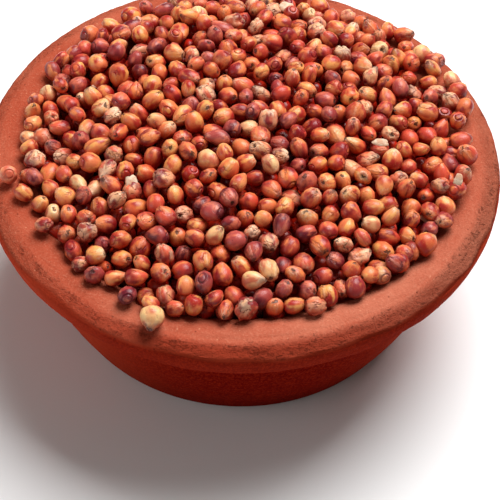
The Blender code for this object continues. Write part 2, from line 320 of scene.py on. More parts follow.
def thrown_bowl():
    """The outline turned about the axis. Each point then moves out along the outline's normal by
    the finger rings and the torn roll's roughness, and in at the seam where the roll ends on the
    band. The whole lip is let a little out of round and out of level, by a few slow waves round
    the bowl. What is kept as turned is the place with its way round drawn in, so that a pattern
    on it runs in rings."""
    draw = np.random.default_rng(7)
    outline = bowl_outline()
    along = distances(outline)
    radius, height = outline[1:-1].T
    slope = np.gradient(outline, along, axis=0)[1:-1]
    slope /= np.linalg.norm(slope, axis=1)[:, None]
    out, up = slope[:, 1:], -slope[:, :1]
    turns = FULL_TURN * np.arange(BOWL_TURNS) / BOWL_TURNS
    circle = np.column_stack((np.cos(turns), np.sin(turns)))
    grid = len(radius), len(turns)
    turned = np.concatenate((
        np.broadcast_to(RING_STRETCH * LIP_RADIUS * circle, (*grid, 2)),
        np.broadcast_to(along[1:-1, None, None], (*grid, 1)),
    ), axis=-1)
    upright = np.broadcast_to(height[:, None, None], (*grid, 1))
    spots = np.concatenate((radius[:, None, None] * circle, upright), axis=-1)

    wander = SEAM_WANDER * waves(spots * (1.0, 1.0, 0.0), SEAM_WAVES, np.random.default_rng(8))
    over_seam = height[:, None] - wander - SEAM_HEIGHT
    above_seam = ramp_up(over_seam, -0.3 * MM, 0.5 * MM)
    seam = np.exp(-((over_seam / SEAM_WIDTH) ** 2)) * (radius[:, None] > 50.0 * MM)
    torn = ramp_up(radius, 47.6 * MM, 49.6 * MM)[:, None] * above_seam
    torn = torn * (0.35 + 0.65 * np.clip(facing(turns, 306.0), 0.0, None) ** 2)

    finger, rough = waves(turned, FINGER_RINGS, draw), waves(spots, ROUGH_WAVES, draw)
    moved = ramp_up(height, 1.0 * MM, 3.0 * MM)[:, None] * (
        FINGER_DEPTH * finger + (GRIT_DEPTH + TORN_DEPTH * torn) * rough
    ) - SEAM_DEPTH * seam
    phases = draw.uniform(0.0, FULL_TURN, (2, len(LIP_WAVE_COUNTS)))
    lip = ramp_up(height, 24.0 * MM, 34.0 * MM)[:, None]
    off_round, off_level = (
        lip * (np.cos(turns[:, None] * LIP_WAVE_COUNTS + phase) @ LIP_WAVE_SIZES) for phase in phases
    )
    far = radius[:, None] + out * moved + off_round
    high = height[:, None] + up * moved + 0.8 * off_level
    points = np.concatenate((far[..., None] * circle, high[..., None]), axis=-1).reshape(-1, 3)
    skin = np.vstack(((0.0, 0.0, outline[0, 1]), points, (0.0, 0.0, outline[-1, 1])))
    mesh = closed_form("bowl_clay", *grid, skin[None])
    note(mesh, "turned", np.vstack(((0.0, 0.0, 0.0), turned.reshape(-1, 3), (0.0, 0.0, along[-1]))))
    # The second of the three numbers kept for each point is painted shade.
    wear_and_shade = clay_wear_and_shade(radius, height, turns, above_seam, torn).reshape(-1, 3)
    note(mesh, "wear_and_shade", np.vstack(((0.0, 1.0, 0.0), wear_and_shade, (0.0, 0.0, 0.0))))
    return mesh


place("bowl_clay", thrown_bowl(), fired_clay(), "fired_clay", "bowl")


# The grain. Threshed sorghum, poured in loose until it stands over the lip in a low dome: hard
# seeds 4 to 5 mm long that lie at every angle. The top layer is where the frame's heap has it,
# single kernels lie on the clay round its foot, and a second layer shows in the gaps.

KERNEL_SIZE = np.array((4.0, 3.4, 4.6)) * MM
KERNEL_SIZE_SPREAD = 0.11
KERNEL_COUNT, LOWER_COUNT = 430, 400
HEAP_RADIUS = 44.0 * MM
HEAP_CENTRE = np.array((1.0, 1.4)) * MM
HEAP_EDGE_WAVES = ((2, 0.7 * MM, 65.0), (3, 0.8 * MM, 25.0))
EDGE_SLACK = 0.7 * MM
HEAP_RISE = 7.0 * MM
HEAP_FOOT_HEIGHT = BOWL_HEIGHT + 0.9 * MM
HEAP_UNEVENNESS = 1.2 * MM
LOWER_DROP, LOWER_UNEVENNESS, LOWER_SPREAD = 3.6 * MM, 0.7 * MM, 0.965 * HEAP_RADIUS
TOP_ROUNDS, LOWER_ROUNDS = 60, 24
KERNEL_CLEARANCE = 0.5 * MM
PLACE_SHIFT, CLOSENESS, PUSH_SHARE = 0.5 * MM, 0.97, 0.35
SEED = 41


def clay_height(radius):
    """Height of the clay under a point at this radius."""
    inside = np.vstack((hollow_outline(12)[:-1], lip_outline(8, 6)))
    return np.interp(radius, inside[:, 0], inside[:, 1])


def heap_edge(outward):
    """How far out the heap reaches in each direction: a circle with slow waves."""
    angle = np.arctan2(outward[:, 1], outward[:, 0])
    return HEAP_RADIUS + sum(
        size * np.cos(count * angle - math.radians(turn)) for count, size, turn in HEAP_EDGE_WAVES
    )


def dome_height(places):
    """Height of the kernels' centres: a low dome that meets the lip all round."""
    outward = places - HEAP_CENTRE
    share = np.linalg.norm(outward, axis=1) / heap_edge(outward)
    return HEAP_FOOT_HEIGHT + HEAP_RISE * np.clip(1.0 - share**2, 0.0, 1.0)


def random_turns(draw, count):
    """Rotation matrices from unit quaternions drawn evenly over all turns."""
    quaternions = draw.normal(size=(count, 4))
    w, x, y, z = (quaternions / np.linalg.norm(quaternions, axis=1)[:, None]).T
    rows = (
        (1 - 2 * (y * y + z * z), 2 * (x * y - z * w), 2 * (x * z + y * w)),
        (2 * (x * y + z * w), 1 - 2 * (x * x + z * z), 2 * (y * z - x * w)),
        (2 * (x * z - y * w), 2 * (y * z + x * w), 1 - 2 * (x * x + y * y)),
    )
    return np.array(rows).transpose(2, 0, 1)


def spiral_angles(count):
    """Each point a golden angle further round than the one before."""
    return np.arange(count) * math.pi * (3.0 - math.sqrt(5.0))


def sphere_directions(count):
    """Unit directions spread over a sphere on a golden-angle spiral."""
    height = 1.0 - 2.0 * (np.arange(count) + 0.5) / count
    across = np.sqrt(1.0 - height**2)
    angle = spiral_angles(count)
    return np.column_stack((across * np.cos(angle), across * np.sin(angle), height))


def push_apart(centres, shapes):
    """How far each kernel moves off its neighbours: a share of how far they overlap."""
    own = np.arange(len(centres))
    apart = centres[:, None] - centres[None]
    distance = np.linalg.norm(apart, axis=2)
    distance[own, own] = 1.0
    towards = apart / distance[..., None]
    towards[own, own] = (0.0, 0.0, 1.0)
    reach = 1.0 / np.sqrt(np.einsum("nmi,nij,nmj->nm", towards, shapes, towards))
    overlap = np.clip(CLOSENESS * (reach + reach.T) - distance, 0.0, None)
    overlap[own, own] = 0.0
    return PUSH_SHARE * (towards * overlap[..., None]).sum(axis=1)


def keep_in_heap(centres, skin, slack, drop, unevenness):
    """Brings kernels back inside the heap's edge and near their layer, then up off the clay."""
    outward = centres[:, :2] - HEAP_CENTRE
    beyond = np.maximum(np.linalg.norm(outward, axis=1) / (heap_edge(outward) + slack), 1.0)
    places = HEAP_CENTRE + outward / beyond[:, None]
    layer = dome_height(places) - drop
    kept = np.column_stack((places, np.clip(centres[:, 2], layer - unevenness, layer + unevenness)))
    points = kept[:, None] + skin
    under = clay_height(np.linalg.norm(points[..., :2], axis=2)) + KERNEL_CLEARANCE - points[..., 2]
    kept[:, 2] += np.clip(under.max(axis=1), 0.0, None)
    return kept


def poured_layer(draw, count, spread, drop, unevenness, rounds, above=None):
    """Centres, turns and sizes of a layer of kernels. They start on a golden-angle spiral with
    drawn shifts and settle until they only touch each other and the layer above."""
    angle = spiral_angles(count)
    radius = spread * np.sqrt((np.arange(count) + 0.5) / count)
    places = HEAP_CENTRE + np.column_stack((radius * np.cos(angle), radius * np.sin(angle)))
    places += draw.normal(0.0, PLACE_SHIFT, places.shape)
    height = dome_height(places) - drop + draw.uniform(-1.0, 1.0, count) * unevenness
    centres = np.column_stack((places, height))
    turns = random_turns(draw, count)
    sizes = KERNEL_SIZE * (1.0 + draw.uniform(-1.0, 1.0, (count, 1)) * KERNEL_SIZE_SPREAD)
    shapes = np.einsum("nij,nj,nkj->nik", turns, (2.0 / sizes) ** 2, turns)
    skin = np.einsum("nij,nj,mj->nmi", turns, sizes / 2.0, sphere_directions(40))
    slack = draw.normal(0.0, EDGE_SLACK, count)
    fixed, fixed_shapes = above or (np.empty((0, 3)), np.empty((0, 3, 3)))
    all_shapes = np.concatenate((shapes, fixed_shapes))
    for _ in range(rounds):
        shift = push_apart(np.concatenate((centres, fixed)), all_shapes)[:count]
        centres = keep_in_heap(centres + shift, skin, slack, drop, unevenness)
    return centres, turns, sizes, shapes


grain_draw = np.random.default_rng(SEED)
top_centres, top_turns, top_sizes, top_shapes = poured_layer(
    grain_draw, KERNEL_COUNT, HEAP_RADIUS, 0.0, HEAP_UNEVENNESS, TOP_ROUNDS
)
low_centres, low_turns, low_sizes, _ = poured_layer(
    grain_draw, LOWER_COUNT, LOWER_SPREAD, LOWER_DROP, LOWER_UNEVENNESS, LOWER_ROUNDS,
    (top_centres, top_shapes),
)

# Where the heap has slipped: the direction, how many mm further out kernels reach, and the
# cosine at which that ends. Then the places on the lip that are left to the strays.
SLIPS = ((202.0, 3.2, 0.985), (242.0, 2.1, 0.93), (35.0, 2.5, 0.93))
STRAY_CENTRES = np.array(((-45.0, -11.2, 38.8), (-15.1, -45.2, 39.1))) * MM
STRAY_SIZES = (4.0 * MM, 4.4 * MM)
FRINGE_TRIES, FRINGE_SPACING, FRINGE_INSETS = 5000, 0.42, (1.2, 4.2)


def fringe_kernels(draw):
    """Centres, turns and sizes of single kernels that lie on the clay round the heap's foot. Places
    are tried from the outside in and kept where they are clear of the kernels there already. They
    reach further out where the heap has slipped, and leave the strays alone."""
    angle = draw.uniform(0.0, FULL_TURN, FRINGE_TRIES)
    outward = np.column_stack((np.cos(angle), np.sin(angle)))
    slipped = sum(
        reach * ramp_up(np.cos(angle - math.radians(turn)), end, 1.0) for turn, reach, end in SLIPS
    )
    radius = heap_edge(outward) + (slipped - np.linspace(*FRINGE_INSETS, FRINGE_TRIES)) * MM
    places = HEAP_CENTRE + radius[:, None] * outward
    sizes = KERNEL_SIZE * (1.0 + draw.uniform(-1.0, 1.0, (FRINGE_TRIES, 1)) * KERNEL_SIZE_SPREAD)
    height = clay_height(np.linalg.norm(places, axis=1)) + sizes.mean(axis=1) * 0.5
    centres = np.column_stack((places, height))
    taken, kept = np.vstack((top_centres, STRAY_CENTRES)), []
    taken_sizes = np.append(top_sizes.mean(axis=1), STRAY_SIZES)
    for index, (centre, size) in enumerate(zip(centres, sizes.mean(axis=1))):
        if np.all(np.linalg.norm(taken - centre, axis=1) > FRINGE_SPACING * (taken_sizes + size)):
            taken, taken_sizes = np.vstack((taken, centre)), np.append(taken_sizes, size)
            kept.append(index)
    return centres[kept], random_turns(draw, len(kept)), sizes[kept]


fringe = fringe_kernels(np.random.default_rng(6))
top_centres, top_turns, top_sizes = (
    np.concatenate(pair) for pair in zip((top_centres, top_turns, top_sizes), fringe)
)


def unit_ball(rings, around):
    """Points of a ball of radius 1: the base pole, rings of even latitude, and the crown pole."""
    fall = math.pi * np.arange(1, rings + 1) / (rings + 1)
    turns = FULL_TURN * np.arange(around) / around
    across = np.sin(fall)[:, None] * np.array((np.cos(turns), np.sin(turns)))[:, None]
    ring = np.stack((*across, np.broadcast_to(-np.cos(fall)[:, None], across[0].shape)), axis=-1)
    return np.vstack(((0.0, 0.0, -1.0), ring.reshape(-1, 3), (0.0, 0.0, 1.0)))


def kernel_skins(ball, habits, draw):
    """Every kernel's skin as points about its own centre, in halves of its size. A ball narrows to
    its base and ends there in a pit or, where its number is high, in a stub. The germ side has an
    oval dent, the crown a dimple. Slow waves make it lumpy, creases draw a shrivelled one in, and
    flats show where neighbours pressed."""
    count, shrivel = len(habits), habits[:, 1:2]
    x, y, z = ball.T
    rim = np.hypot(x, y)
    taper, germ, crown = (
        draw.uniform(low, high, (count, 1)) for low, high in ((0.0, 0.17), (0.04, 0.24), (0.0, 0.14))
    )
    stub = np.interp(habits[:, 2:], (0.0, 0.80, 1.0), (-0.42, 0.16, 0.40))
    stub_width = 0.34 + 0.30 * np.clip(stub, 0.0, None)
    base = stub * np.exp(-((rim / stub_width) ** 6)) * (z < 0.0)
    dent = germ * np.exp(-((x / 0.42) ** 2) - ((z + 0.25) / 0.55) ** 2) * ramp_up(-y, 0.1, 0.7)
    dimple = crown * np.exp(-((rim / 0.33) ** 2)) * (z > 0.0)
    narrow = 1.0 + taper * z
    skins = np.stack((x * narrow, y * narrow + dent, z - base - dimple), axis=-1)

    headings = draw.normal(size=(count, 6, 3))
    headings /= np.linalg.norm(headings, axis=2)[..., None]
    phases = draw.uniform(0.0, FULL_TURN, (count, 6, 1))
    slow = np.sin(np.einsum("nkj,mj->nkm", 2.4 * headings[:, :3], ball) + phases[:, :3]).sum(axis=1)
    creases = np.abs(np.sin(np.einsum("nkj,mj->nkm", 4.6 * headings[:, 3:], ball) + phases[:, 3:]))
    shrink = shrivel * 0.17 * ((1.0 - creases) ** 3).sum(axis=1)
    stretch = draw.uniform((0.93, 0.93, 0.86), (1.06, 1.10, 1.04), (count, 1, 3))
    skins *= (1.0 + 0.026 * slow - shrink)[..., None] * stretch
    for normals in draw.normal(size=(4, count, 3)):
        normals /= np.linalg.norm(normals, axis=1)[:, None]
        proud = np.einsum("nmj,nj->nm", skins, normals) - draw.uniform(0.78, 0.95, (count, 1))
        skins -= 0.75 * np.clip(proud, 0.0, None)[..., None] * normals[:, None]
    return skins


def kernel_mesh(name, grid, centres, turns, sizes, coats, habits, draw):
    """One mesh of many kernels, each on this grid of rings and points round a ring. A habit is how
    far the cream of the base reaches, how shrivelled the kernel is, and a number that shifts its
    markings. The painted shade kept for each point is 0 at the heap's surface and 1 about a
    kernel's radius below it, and nearly 1 on a kernel's lower side."""
    ball = unit_ball(*grid)
    skins = kernel_skins(ball, habits, draw)
    points = centres[:, None] + np.einsum("nij,nj,nmj->nmi", turns, sizes / 2.0, skins)
    mesh = closed_form(name, *grid, points)
    note(mesh, "spot", np.tile(ball, (len(centres), 1)))
    note(mesh, "coat", np.repeat(coats, len(ball), axis=0))
    note(mesh, "habit", np.repeat(habits, len(ball), axis=0))
    flat = points.reshape(-1, 3)
    # Painted shade: darker the deeper a point lies under the heap's surface, and on each kernel's lower side.
    deep = ramp_up(dome_height(flat[:, :2]) + 1.6 * MM - flat[:, 2], 0.0, 3.4 * MM)
    under = ramp_up(np.repeat(centres[:, 2], len(ball)) - flat[:, 2], -1.4 * MM, 1.5 * MM)
    note(mesh, "heap_shade", np.maximum(deep, 0.95 * under))
    return mesh


def seed_coat_group():
    """The markings of a sorghum kernel, placed by its own axes, -Z at the base. The base fades to
    cream in streaks and ends in a dark scar. The germ shows as an oval in a dark line with a pale
    ridge down it. The crown has a small ring where the flower's styles stood. Deeper and brighter
    clouds cross the coat, and a shrivelled kernel has pale ridges and dark creases. Painted shade
    turns what lies deep in the heap and each kernel's lower side towards crimson."""
    group = bpy.data.node_groups.new("seed_coat", "ShaderNodeTree")
    for kind, sockets in (
        ("INPUT", (
            ("Spot", "Vector"), ("Coat", "Color"), ("Cream", "Color"), ("Deep", "Color"), ("Bright", "Color"),
            ("Reach", "Float"), ("Shrivel", "Float"), ("Number", "Float"), ("Shade", "Float"),
        )),
        ("OUTPUT", (("Colour", "Color"), ("Roughness", "Float"), ("Height", "Float"))),
    ):
        for name, socket in sockets:
            group.interface.new_socket(name, in_out=kind, socket_type="NodeSocket" + socket)
    given = group.nodes.new("NodeGroupInput").outputs
    spot, number, shrivel = given["Spot"], given["Number"], given["Shrivel"]

    def times(*values):
        return maths(group, "MULTIPLY", *values)

    def plus(*values):
        return maths(group, "ADD", *values)

    def distance(east, north):
        """How far a point lies from the middle, by its two parts."""
        return maths(group, "SQRT", plus(maths(group, "POWER", east, 2.0), maths(group, "POWER", north, 2.0)))

    def line(value, middle, width):
        """1 where the value is at the middle, falling to 0 on both sides."""
        return step(group, maths(group, "ABSOLUTE", maths(group, "SUBTRACT", value, middle)), width, 0.0)

    def painted(colour, share, paint):
        return mixed(group, share, colour, paint)

    axes = add(group, "SeparateXYZ", {0: spot}).outputs
    offset = add(group, "CombineXYZ", {0: times(number, 91.0), 1: times(number, 57.0)}).outputs[0]
    own = add(group, "VectorMath", {0: spot, 1: offset}, operation="ADD").outputs[0]
    rim = distance(axes[0], axes[1])
    clouds, fire = noise(group, own, 0.75, 1.0), noise(group, scaled(group, own, (1.0, 1.0, 0.6)), 1.25, 2.0)
    streaks = noise(group, scaled(group, own, (1.0, 1.0, 0.35)), 4.5, 2.0)
    fine = noise(group, own, 6.0, 3.0, 0.6)

    ripe = plus(clouds, times(axes[2], 0.12))
    glow = plus(fire, times(axes[2], -0.07))
    colour = painted(given["Coat"], times(step(group, ripe, 0.43, 0.62), 0.92), given["Deep"])
    colour = painted(colour, times(step(group, glow, 0.47, 0.66), 0.85), given["Bright"])

    low, high = step(group, axes[2], 0.0, -0.3), step(group, axes[2], 0.0, 0.3)
    reach = maths(group, "SUBTRACT", plus(given["Reach"], times(plus(streaks, -0.5), -1.7)), axes[2])
    base = step(group, plus(reach, -0.55), 0.0, 0.9)
    colour = painted(colour, times(base, 0.85), given["Cream"])

    front = step(group, axes[1], -0.05, -0.55)
    across, along = times(axes[0], 2.0), times(plus(axes[2], 0.35), 1.6)
    far = plus(distance(across, along), times(plus(streaks, -0.5), 1.1))
    germ = times(step(group, far, 1.10, 0.50), front)
    germ_edge = times(times(line(far, 0.95, 0.28), front), step(group, clouds, 0.40, 0.62))
    germ_ridge = times(line(plus(axes[0], times(streaks, 0.5)), 0.25, 0.22), germ)
    colour = painted(colour, times(germ, 0.45), given["Bright"])
    colour = painted(colour, times(germ_ridge, 0.35), given["Cream"])
    colour = painted(colour, times(germ_edge, 0.50), given["Deep"])

    folds = noise(group, own, 1.15, 1.0)
    patch = times(step(group, fire, 0.40, 0.56), shrivel)
    crease = times(times(line(folds, 0.5, 0.045), patch), step(group, streaks, 0.40, 0.55))
    colour = painted(colour, times(patch, 0.50), given["Cream"])
    colour = painted(colour, times(crease, 0.75), given["Deep"])

    scar_far = plus(rim, times(plus(streaks, -0.5), 0.9))
    scar = times(step(group, scar_far, 0.27, 0.10), low)
    smudge = times(times(step(group, scar_far, 0.85, 0.20), low), step(group, clouds, 0.50, 0.62))
    style = times(line(rim, 0.40, 0.13), high)
    brown, black, shade_crimson = (0.16, 0.035, 0.030, 1.0), (0.055, 0.014, 0.010, 1.0), (0.60, 0.070, 0.040, 1.0)
    colour = painted(colour, times(smudge, 0.65), brown)
    colour = painted(colour, times(scar, 0.85), black)
    colour = painted(colour, times(style, 0.55), given["Deep"])
    colour = painted(colour, times(step(group, fine, 0.44, 0.28), 0.35), given["Deep"])
    colour = painted(colour, times(step(group, fine, 0.56, 0.72), 0.25), given["Bright"])
    # Painted shade: deep in the heap and on the kernels' lower sides the colour is multiplied towards
    # crimson.
    colour = mixed(group, given["Shade"], colour, shade_crimson, "MULTIPLY")

    height = plus(times(germ_ridge, 0.5), times(germ_edge, -1.0))
    height = plus(height, plus(times(scar, -2.0), times(style, -1.2)))
    height = plus(height, plus(times(crease, -2.0), times(folds, times(shrivel, 2.0))))
    height = plus(height, plus(times(fine, 0.25), times(streaks, times(base, 0.6))))
    dull = plus(times(base, 0.12), times(shrivel, 0.08))
    end = group.nodes.new("NodeGroupOutput").inputs
    group.links.new(colour, end["Colour"])
    group.links.new(plus(plus(times(fine, 0.20), 0.22), dull), end["Roughness"])
    group.links.new(height, end["Height"])
    return group


SEED_COAT = seed_coat_group()


def seed_coat(name, cream, deep, bright):
    """A hard waxy seed coat. Its main colour is each kernel's own, and the cream of the base, the
    deep clouds and the bright ones are the material's."""
    material, tree, shader = surfaced(name, specular=0.34, Metallic=0.0)
    marks = tree.nodes.new("ShaderNodeGroup")
    marks.node_tree = SEED_COAT
    habit = add(tree, "SeparateXYZ", {0: read(tree, "habit")}).outputs
    for socket, value in (
        ("Spot", read(tree, "spot")), ("Coat", read(tree, "coat", "Color")), ("Reach", habit[0]),
        ("Shrivel", habit[1]), ("Number", habit[2]), ("Shade", read(tree, "heap_shade", "Fac")),
    ):
        tree.links.new(value, marks.inputs[socket])
    for socket, value in (("Cream", cream), ("Deep", deep), ("Bright", bright)):
        marks.inputs[socket].default_value = (*value, 1.0)
    bump = add(tree, "Bump", {"Strength": 0.9, "Distance": 0.16 * MM, "Height": marks.outputs["Height"]})
    tree.links.new(marks.outputs["Colour"], shader.inputs["Base Color"])
    tree.links.new(marks.outputs["Roughness"], shader.inputs["Roughness"])
    tree.links.new(bump.outputs["Normal"], shader.inputs["Normal"])
    return material


# The kernels' kinds: name, share of the heap, main colours, how far the cream reaches, and how
# shrivelled. Most are orange to brick red. Some ripened darker, some stayed pale, and some
# shrank as they dried, which leaves cream ridges and dark creases. About three quarters of the
# top kernels lie base up, so that the cream of the base and its dark scar show.

KINDS = (
    ("orange", 0.36, ((0.73, 0.138, 0.050), (0.82, 0.25, 0.092)), (-0.6, 0.3), (0.0, 0.15)),
    ("red", 0.35, ((0.54, 0.052, 0.032), (0.72, 0.112, 0.056)), (-0.7, 0.2), (0.0, 0.2)),
    ("maroon", 0.12, ((0.31, 0.030, 0.031), (0.46, 0.074, 0.062)), (-0.8, 0.1), (0.0, 0.3)),
    ("pale", 0.04, ((0.84, 0.39, 0.16), (0.88, 0.50, 0.25)), (-0.3, 0.4), (0.0, 0.4)),
    ("shrivelled", 0.13, ((0.63, 0.095, 0.048), (0.76, 0.19, 0.084)), (-0.2, 0.5), (0.5, 1.0)),
)
TURNED_OVER_SHARE = 0.55
WRINKLED_GRID, SMOOTH_GRID = (15, 22), (6, 10)
kind_draw = np.random.default_rng(SEED + 1)
kind_of = kind_draw.choice(len(KINDS), len(top_centres), p=[kind[1] for kind in KINDS])
low_kind_of = kind_draw.choice(len(KINDS), LOWER_COUNT, p=[kind[1] for kind in KINDS])


def coats_and_habits(kinds, draw):
    """Each kernel's colour, drawn between its kind's two, and its habit, drawn in its kind's ranges."""
    first, second = (np.array([kind[2][end] for kind in KINDS])[kinds] for end in (0, 1))
    share = draw.uniform(0.0, 1.0, (len(kinds), 1))
    coats = (first * (1.0 - share) + second * share) * draw.uniform(0.88, 1.10, (len(kinds), 1))
    ranges = np.array([(kind[3], kind[4], (0.0, 1.0)) for kind in KINDS])[kinds]
    return coats, draw.uniform(ranges[..., 0], ranges[..., 1])


turned_over = (top_turns[:, 2, 2] > 0.0) & (kind_draw.uniform(size=len(top_centres)) < TURNED_OVER_SHARE)
top_turns[turned_over] = top_turns[turned_over] * (1.0, -1.0, -1.0)
coats, habits = coats_and_habits(kind_of, kind_draw)
low_coats, low_habits = coats_and_habits(low_kind_of, kind_draw)

# What each kind's seed coat has besides its main colour: the cream of the base, the deep clouds
# and the bright ones. The ringed one is the stray at the left.
LOOKS = {
    "orange": ((0.91, 0.62, 0.38), (0.39, 0.012, 0.013), (0.89, 0.41, 0.110)),
    "red": ((0.89, 0.52, 0.33), (0.23, 0.006, 0.013), (0.86, 0.25, 0.070)),
    "maroon": ((0.80, 0.39, 0.30), (0.12, 0.007, 0.018), (0.68, 0.15, 0.074)),
    "pale": ((0.91, 0.72, 0.47), (0.57, 0.11, 0.055), (0.91, 0.56, 0.22)),
    "shrivelled": ((0.91, 0.66, 0.44), (0.20, 0.009, 0.017), (0.86, 0.32, 0.094)),
    "ringed": ((0.91, 0.62, 0.40), (0.62, 0.110, 0.060), (0.91, 0.46, 0.20)),
}
for index, (name, *_) in enumerate(KINDS):
    own = kind_of == index
    grid = WRINKLED_GRID if name in ("pale", "shrivelled") else SMOOTH_GRID
    mesh = kernel_mesh(
        f"kernels_{name}", grid, top_centres[own], top_turns[own], top_sizes[own],
        coats[own], habits[own], kind_draw,
    )
    coat = seed_coat(f"{name}_seed_coat", *LOOKS[name])
    place(f"kernels_{name}", mesh, coat, "sorghum_grain", "grain_heap")
lower_mesh = kernel_mesh(
    "kernels_below", SMOOTH_GRID, low_centres, low_turns, low_sizes, low_coats, low_habits, kind_draw
)
place("kernels_below", lower_mesh, seed_coat("lower_seed_coat", *LOOKS["red"]), "sorghum_grain", "grain_heap")


# The grain below. Only dark gaps show between the kernels, so what fills the bowl under them is
# one lumpy mass with its sides just clear of the clay.

MASS_DEPTH, MASS_RADIUS = 6.4 * MM, 40.5 * MM
SIDE_GAP = 0.6 * MM
LUMP_SIZE, LUMP_LENGTHS = 0.7 * MM, np.geomspace(3.0, 6.0, 12) * MM
MASS_TURNS = 120


def grain_below():
    """A dome over a floor: rings that follow the hollow's outline up to the rim of the dome, then
    run in over it, moved up and down by short waves as lumps the size of a kernel."""
    share = np.linspace(0.93, 0.0, 26)
    top_height = HEAP_FOOT_HEIGHT + HEAP_RISE * (1.0 - share**2) - MASS_DEPTH
    top = np.column_stack((HEAP_RADIUS * share, top_height))
    sides = hollow_outline(16) + (-SIDE_GAP, SIDE_GAP)
    sides = sides[sides[:, 1] < top[0, 1] - 1.5 * MM]
    rings = np.vstack((sides[1:], top[:-1]))
    turns = FULL_TURN * np.arange(MASS_TURNS) / MASS_TURNS
    circle = np.column_stack((np.cos(turns), np.sin(turns)))
    on_top = (np.arange(len(rings)) >= len(sides) - 1)[:, None, None]
    flat = np.minimum(rings[:, :1], MASS_RADIUS)[..., None] * circle + np.where(on_top, HEAP_CENTRE, 0.0)
    upright = np.broadcast_to(rings[:, 1, None, None], (len(rings), len(turns), 1))
    points = np.concatenate((flat, upright), axis=-1)
    lumps = waves(points, LUMP_LENGTHS, np.random.default_rng(12))[..., None]
    points += np.where(on_top, LUMP_SIZE, 0.0) * lumps * (0.0, 0.0, 1.0)
    crown = (*HEAP_CENTRE, top[-1, 1])
    skin = np.vstack(((0.0, 0.0, sides[0, 1]), points.reshape(-1, 3), crown))
    return closed_form("grain_below", len(rings), len(turns), skin[None])


def shaded_grain():
    """Painted shade for the kernels deep in the heap: a dark brown, broken up in lumps."""
    material, tree, shader = surfaced("shaded_grain", specular=0.2, Metallic=0.0, Roughness=0.8)
    lumps = noise(tree, add(tree, "TexCoord").outputs["Object"], 260.0, 2.0)
    dark, brown = (0.05, 0.003, 0.002, 1.0), (0.13, 0.010, 0.005, 1.0)
    colour = mixed(tree, step(tree, lumps, 0.4, 0.65), dark, brown)
    tree.links.new(colour, shader.inputs["Base Color"])
    return material


place("grain_below", grain_below(), shaded_grain(), "sorghum_grain", "grain_heap")


# The chaff. A few white scraps of husk, and crumbs of broken kernels, were left in the grain
# when it was winnowed, and lie loose in the gaps of the top layer. For each: how far east and
# north it lies and its size, in mm, then its turn and its lean in degrees.

CHAFF_GRID, CHAFF_LIFT = (9, 18), 0.7 * MM
SCRAPS = (
    (-20.9, -15.4, (2.4, 3.8, 1.3), 30.0, 40.0), (-13.3, -40.0, (2.9, 2.2, 1.0), 20.0, 15.0),
    (36.0, -18.3, (3.0, 1.9, 0.8), 10.0, 25.0), (42.0, -11.1, (1.7, 2.8, 0.7), -15.0, 50.0),
    (37.8, -18.9, (1.6, 1.8, 0.8), 60.0, 20.0), (-30.3, 13.6, (1.8, 1.3, 0.9), 0.0, 15.0),
    (8.5, 39.4, (3.4, 2.6, 1.6), 15.0, 20.0), (15.6, -35.7, (2.6, 1.5, 0.5), 70.0, 35.0),
    (27.1, -3.3, (3.4, 1.7, 0.7), -12.0, 30.0),
)


def grain_top(places):
    """Height of the highest kernel at each place, with each kernel taken as a ball."""
    radius = top_sizes.mean(axis=1) / 2.0
    apart = np.linalg.norm(places[:, None] - top_centres[None, :, :2], axis=2)
    caps = top_centres[:, 2] + np.sqrt(np.clip(radius**2 - apart**2, 0.0, None))
    return np.where(apart < radius, caps, dome_height(places)[:, None] - 1.5 * MM).max(axis=1)


def chaff_mesh():
    """Balls pressed flat and curled up at both ends. Waves round the edge leave it torn."""
    draw = np.random.default_rng(3)
    ball = unit_ball(*CHAFF_GRID)
    x, y, z = ball.T
    around = np.arctan2(y, x)
    scraps = []
    for east, north, size, turn, lean in SCRAPS:
        phases = draw.uniform(0.0, FULL_TURN, 3)
        edge = 1.0 + sum(0.07 * np.sin(count * around + phase) for count, phase in zip((2, 3, 5), phases))
        curled = z + 0.25 * (x * edge) ** 2 - 0.3 * y
        skin = np.column_stack((x * edge, y * edge, curled)) * np.array(size) / 2.0 * MM
        stand = Matrix.Rotation(math.radians(turn), 3, "Z") @ Matrix.Rotation(math.radians(lean), 3, "X")
        skin = skin @ np.array(stand).T
        here = np.array((east, north)) * MM
        rest = grain_top(here + skin[::5, :2]).min() + CHAFF_LIFT
        scraps.append(skin + (*here, rest))
    mesh = closed_form("chaff", *CHAFF_GRID, np.array(scraps))
    note(mesh, "spot", np.tile(ball, (len(scraps), 1)))
    return mesh


def chaff_skin():
    """Off-white and mealy, browner in patches, with fibres along it."""
    material, tree, shader = surfaced("chaff_skin", specular=0.25, Metallic=0.0, Roughness=0.7)
    spot = add(tree, "TexCoord").outputs["Object"]
    patches = noise(tree, spot, 700.0, 2.0)
    fibres = noise(tree, scaled(tree, read(tree, "spot"), (1.2, 7.0, 1.2)), 1.6, 2.0)
    husk, stained, fibre = (0.74, 0.58, 0.42, 1.0), (0.66, 0.38, 0.24, 1.0), (0.42, 0.20, 0.12, 1.0)
    colour = mixed(tree, step(tree, patches, 0.42, 0.62), husk, stained)
    colour = mixed(tree, maths(tree, "MULTIPLY", step(tree, fibres, 0.52, 0.70), 0.5), colour, fibre)
    bump = add(tree, "Bump", {"Strength": 0.7, "Distance": 0.12 * MM, "Height": fibres})
    tree.links.new(colour, shader.inputs["Base Color"])
    tree.links.new(bump.outputs["Normal"], shader.inputs["Normal"])
    return material


place("chaff", chaff_mesh(), chaff_skin(), "pale_sorghum_grain")


# The strays. Two kernels rolled out of the heap and lie on the lip: a small ringed one at the
# left, crown outwards, and a pale one at the front with its dark scar outwards. Directions and
# leans are in degrees. The radius, the height over the lip and the size are in mm.

